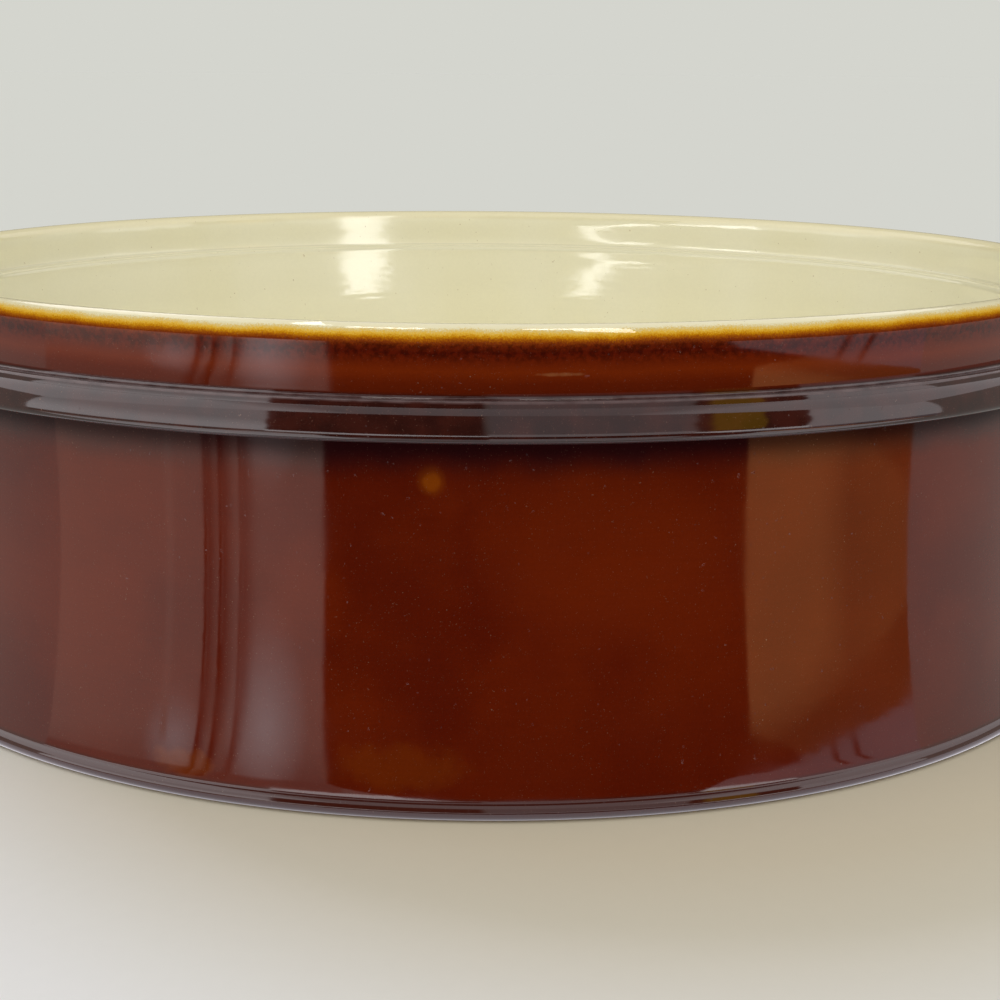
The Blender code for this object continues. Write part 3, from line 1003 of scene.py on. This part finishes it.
ABOVE_DARK = (
    (32.0, -1.3), (49.5, -1.3), (50.5, 7.0), (51.5, 14.0), (52.5, 22.0), (55.5, 30.0), (59.0, 37.0),
    (63.0, 46.0), (40.5, 46.0), (39.0, 42.0), (36.0, 34.0), (34.0, 25.0), (32.3, 17.0), (32.0, 8.0),
)
ABOVE_YELLOW = (
    (33.5, -1.0), (42.5, -1.0), (43.2, 7.0), (44.3, 15.0), (45.5, 23.0), (47.5, 31.0), (51.5, 39.0),
    (55.0, 46.0), (43.0, 46.0), (41.0, 41.0), (38.0, 33.0), (36.0, 25.0), (34.3, 16.0), (34.0, 8.0),
)
RIGHT_LOW = (
    (38.0, -24.0), (75.0, -24.0), (75.0, -14.6), (62.0, -13.4), (52.0, -11.8), (43.0, -10.4),
    (38.0, -10.2),
)
RIGHT_FOOT = ((34.0, -9.0), (53.0, -10.6), (62.0, -11.6), (75.0, -12.5), (75.0, -5.0), (34.0, -5.0))
RIGHT_PATCH = (
    (30.0, -34.0), (62.0, -34.0), (62.0, -13.8), (54.0, -12.6), (43.0, -11.4), (30.0, -11.4),
)
RIGHT_SHADE_A = ((56.0, -11.2), (57.6, -11.2), (61.0, -7.6), (59.2, -7.6))
RIGHT_SHADE_B = ((60.0, -11.6), (61.6, -11.6), (65.4, -8.0), (63.6, -8.0))
CARDS = (
    ("left_high", box(-72, -24, -6, 75), HARD, GREY, 2.2),
    ("left_bright", box(-72, -24, -30, 20), (0.0, 0.6), GREY, 3.3),
    ("left_low", box(-72, -20, -24, -6), HARD, ROSE, 1.1),
    ("left_foot", box(-72, -20, -11.6, -3), (0.0, 0.5), ROSE, 0.55),
    ("left_patch", oval(-32.6, -12.2, 7.0, 3.7), (0.9, 0.9), GREY, 2.5),
    ("left_spot", oval(-47.8, -11.3, 6.0, 1.9), (0.9, 0.9), GREY, 1.9),
    ("left_line", box(-51.0, -49.2, -24, -11), (0.7, 0.1), ROSE, 1.3),
    ("left_shade_a", leaning(-43.2, -41.0), (0.8, 0.02), DARK, 0.08),
    ("left_shade_b", leaning(-40.6, -38.4), (0.8, 0.02), DARK, 0.08),
    ("left_shade_c", leaning(-37.1, -34.9), (0.8, 0.02), DARK, 0.45),
    ("right_base", box(38, 75, -24, -8), HARD, ORANGE, 0.5),
    ("right_low", RIGHT_LOW, (0.0, 0.2), ORANGE, 0.95),
    ("right_patch", RIGHT_PATCH, (0.4, 0.15), ORANGE, 1.6),
    ("right_foot", RIGHT_FOOT, HARD, MAUVE, 0.75),
    ("right_shade_a", RIGHT_SHADE_A, (0.6, 0.3), DARK, 0.10),
    ("right_shade_b", RIGHT_SHADE_B, (0.6, 0.3), DARK, 0.10),
    ("right_high", box(47, 75, -5, 75), HARD, GREY, 2.2),
    ("floor_left", box(-72, -24, -60, -18), HARD, GREY, 2.7),
    ("floor_middle", box(-24.4, 43.1, -60, -31), HARD, GREY, 1.0),
    ("floor_right", box(43, 75, -60, -19), HARD, GREY, 2.1),
    ("sill", box(-31, 50, -6.0, -1.0), HARD, GREY, 4.0),
    ("sill_middle", box(1.5, 32, -6.0, 2.4), HARD, GREY, 1.7),
    ("above_left", ABOVE_LEFT, (0.04, 0.0), DARK, 0.06),
    ("above_middle", ABOVE_MIDDLE, (0.03, 0.0), GREY, 0.8),
    ("above_dark", ABOVE_DARK, (0.04, 0.0), DARK, 0.06),
    ("above_yellow", ABOVE_YELLOW, (0.2, 0.1), YELLOW, 1.0),
    ("front_window", FRONT_WINDOW, (0.015, 0.02), DARK, 0.02),
    ("floor_centre", box(1.5, 32, -60, -20.0), HARD, GREY, 1.4),
)

# Level cards overhead: outline in metres, the share of its width that fades out, and its light
CEILING_Z = 1.2
CEILING_GAP = 0.01
CEILINGS = (
    ("ceiling_left", ((-3.0, -1.13), (0.0, -1.13), (0.0, 2.5), (-3.0, 2.5)), 0.0, 2.6),
    ("ceiling_right", ((0.0, -1.13), (3.0, -1.13), (3.0, 2.5), (0.0, 2.5)), 0.0, 1.9),
    ("ceiling_middle", ((-0.65, -1.13), (0.7, -1.13), (0.7, 2.5), (-0.65, 2.5)), 0.35, 1.1),
)

# Lamps that only the gloss shows, which stand over the near rim and light the far wall of the well: the
# place of their plane across the dish, and corners along and up it, in millimetres
WELL_RIGHT = (
    (19.4, 88.4), (30.2, 88.4), (30.5, 110.6), (32.3, 122.8), (33.9, 134.0), (33.5, 330.0),
    (20.8, 330.0), (19.6, 131.0), (19.3, 108.5),
)
WELL_LEFT = (
    (-22.8, 88.4), (-25.7, 109.8), (-28.0, 118.5), (-30.5, 124.0), (-33.1, 131.7), (-37.0, 140.0),
    (-52.0, 155.0), (-71.0, 168.0), (-110.0, 190.0), (-110.0, 160.0), (-62.0, 138.0),
    (-44.0, 128.0), (-34.4, 124.0), (-31.1, 110.1), (-28.0, 88.4),
)
WELL_LAMPS = (("lamp_well_right", -97.2, WELL_RIGHT), ("lamp_well_left", -94.2, WELL_LEFT))
WELL_LAMP_LIGHT = 9.0
LAMP_WHITE = (1.0, 0.99, 0.95)

# Bands that follow the plan oval and that only the gloss shows: first and last angle in degrees, the
# two edges as (offset, height) in millimetres, and the colour and strength of their light. The shade
# darkens the rim's outer side, the glints are lamps that the rim mirrors, and the glow is the floor in
# the foot bead.
GLINT_EDGES = ((0.55, 95.0), (2.05, 95.0))
BANDS = (
    ("shade_rim", 0.0, 360.0, ((3.0, 84.5), (3.0, 150.0)), DARK, 0.05),
    ("glint_left", 261.3, 267.4, GLINT_EDGES, LAMP_WHITE, 12.0),
    ("glint_right", 274.8, 281.2, GLINT_EDGES, LAMP_WHITE, 12.0),
    ("glow_foot", 0.0, 360.0, ((5.0, 0.15), (13.0, 0.15)), MAUVE, 1.7),
)
BAND_STEPS = 144


def card_point(azimuth, elevation, layer):
    """Where that direction meets the upright plane of the cards."""
    distance = CARD_DISTANCE - layer * CARD_GAP
    side = math.tan(math.radians(azimuth)) * distance
    rise = math.tan(math.radians(elevation)) * distance / math.cos(math.radians(azimuth))
    return (CARD_ORIGIN[0] + side, CARD_ORIGIN[1] - distance, CARD_ORIGIN[2] + rise)


def divided(corners, steps):
    """The outline with points between its corners."""
    points = []
    for first, second in zip(corners, [*corners[1:], corners[0]]):
        for step in range(steps):
            points.append(tuple(a + (b - a) * step / steps for a, b in zip(first, second)))
    return points


def drawn_in(outline, fade):
    """The outline shrunk towards its middle by those shares of its width and height."""
    middle = [sum(values) / len(outline) for values in zip(*outline)]
    points = []
    for point in outline:
        parts = zip(point, middle, fade)
        points.append(tuple(mid + (value - mid) * (1.0 - share) for value, mid, share in parts))
    return points


def gloss_only(card):
    card.visible_camera = False
    card.visible_diffuse = False
    card.visible_shadow = False
    card.visible_transmission = False


def make_card(name, edge, core, colour, strength):
    """A card that is evenly lit, or lit in its core and faded out to its edge."""
    count = len(edge)
    if edge == core:
        light = glow_material(name, colour, strength, False)
        gloss_only(stage_mesh(name, edge, [tuple(range(count))], light))
        return
    faces = []
    for step in range(count):
        following = (step + 1) % count
        faces.append((step, following, count + following, count + step))
    faces.append(tuple(range(count, 2 * count)))
    card = stage_mesh(name, edge + core, faces, glow_material(name, colour, strength, True))
    cover = card.data.attributes.new("cover", "FLOAT", "POINT")
    for index in range(2 * count):
        cover.data[index].value = 0.0 if index < count else 1.0
    gloss_only(card)


def make_band(name, first, last, edges, colour, strength):
    points = []
    for step in range(BAND_STEPS + 1):
        angle = math.radians(first + (last - first) * step / BAND_STEPS)
        points.extend(oval_point(angle, *edge) for edge in edges)
    faces = [(2 * step, 2 * step + 2, 2 * step + 3, 2 * step + 1) for step in range(BAND_STEPS)]
    gloss_only(stage_mesh(name, points, faces, glow_material(name, colour, strength, False)))


def make_cards():
    for layer, (name, corners, fade, colour, strength) in enumerate(CARDS):
        outline = divided(corners, CARD_STEPS)
        edge = [card_point(*point, layer) for point in outline]
        core = [card_point(*point, layer) for point in drawn_in(outline, fade)]
        make_card("card_" + name, edge, core, colour, strength)
    for layer, (name, corners, fade, strength) in enumerate(CEILINGS):
        height = CEILING_Z - layer * CEILING_GAP
        edge = [(*point, height) for point in corners]
        core = [(*point, height) for point in drawn_in(corners, (fade, 0.0))]
        make_card(name, edge, core, GREY, strength)
    for name, across, corners in WELL_LAMPS:
        points = [(along * MM, across * MM, up * MM) for along, up in corners]
        make_card(name, points, points, LAMP_WHITE, WELL_LAMP_LIGHT)
    for band in BANDS:
        make_band(*band)


def make_light():
    lamp = bpy.data.lights.new("overhead", "SUN")
    lamp.energy = KEY_LIGHT
    lamp.angle = math.radians(KEY_SPREAD)
    holder = bpy.data.objects.new("overhead", lamp)
    holder.rotation_euler = (math.radians(KEY_TILT[0]), math.radians(KEY_TILT[1]), 0.0)
    holder.visible_glossy = False
    bpy.context.scene.collection.objects.link(holder)


def make_world():
    """Even light, and the floor's colour where the camera, gloss or glass sees past the floor."""
    world = bpy.data.worlds.new("studio")
    bpy.context.scene.world = world
    world.use_nodes = True
    tree = world.node_tree
    light = tree.nodes["Background"]
    light.inputs["Color"].default_value = (1.0, 1.0, 1.0, 1.0)
    light.inputs["Strength"].default_value = WORLD_LIGHT
    seen = tree.nodes.new("ShaderNodeBackground")
    seen.inputs["Color"].default_value = (*FLOOR, 1.0)
    seen.inputs["Strength"].default_value = open_level()
    path = tree.nodes.new("ShaderNodeLightPath")
    share = path.outputs["Is Camera Ray"]
    for output in ("Is Glossy Ray", "Is Transmission Ray"):
        either = tree.nodes.new("ShaderNodeMath")
        either.operation = "MAXIMUM"
        tree.links.new(share, either.inputs[0])
        tree.links.new(path.outputs[output], either.inputs[1])
        share = either.outputs[0]
    both = tree.nodes.new("ShaderNodeMixShader")
    tree.links.new(share, both.inputs[0])
    tree.links.new(light.outputs[0], both.inputs[1])
    tree.links.new(seen.outputs[0], both.inputs[2])
    tree.links.new(both.outputs[0], tree.nodes["World Output"].inputs["Surface"])


make_dish()
make_camera()
make_floor()
make_cards()
make_light()
make_world()
bpy.context.scene.view_settings.view_transform = "Standard"
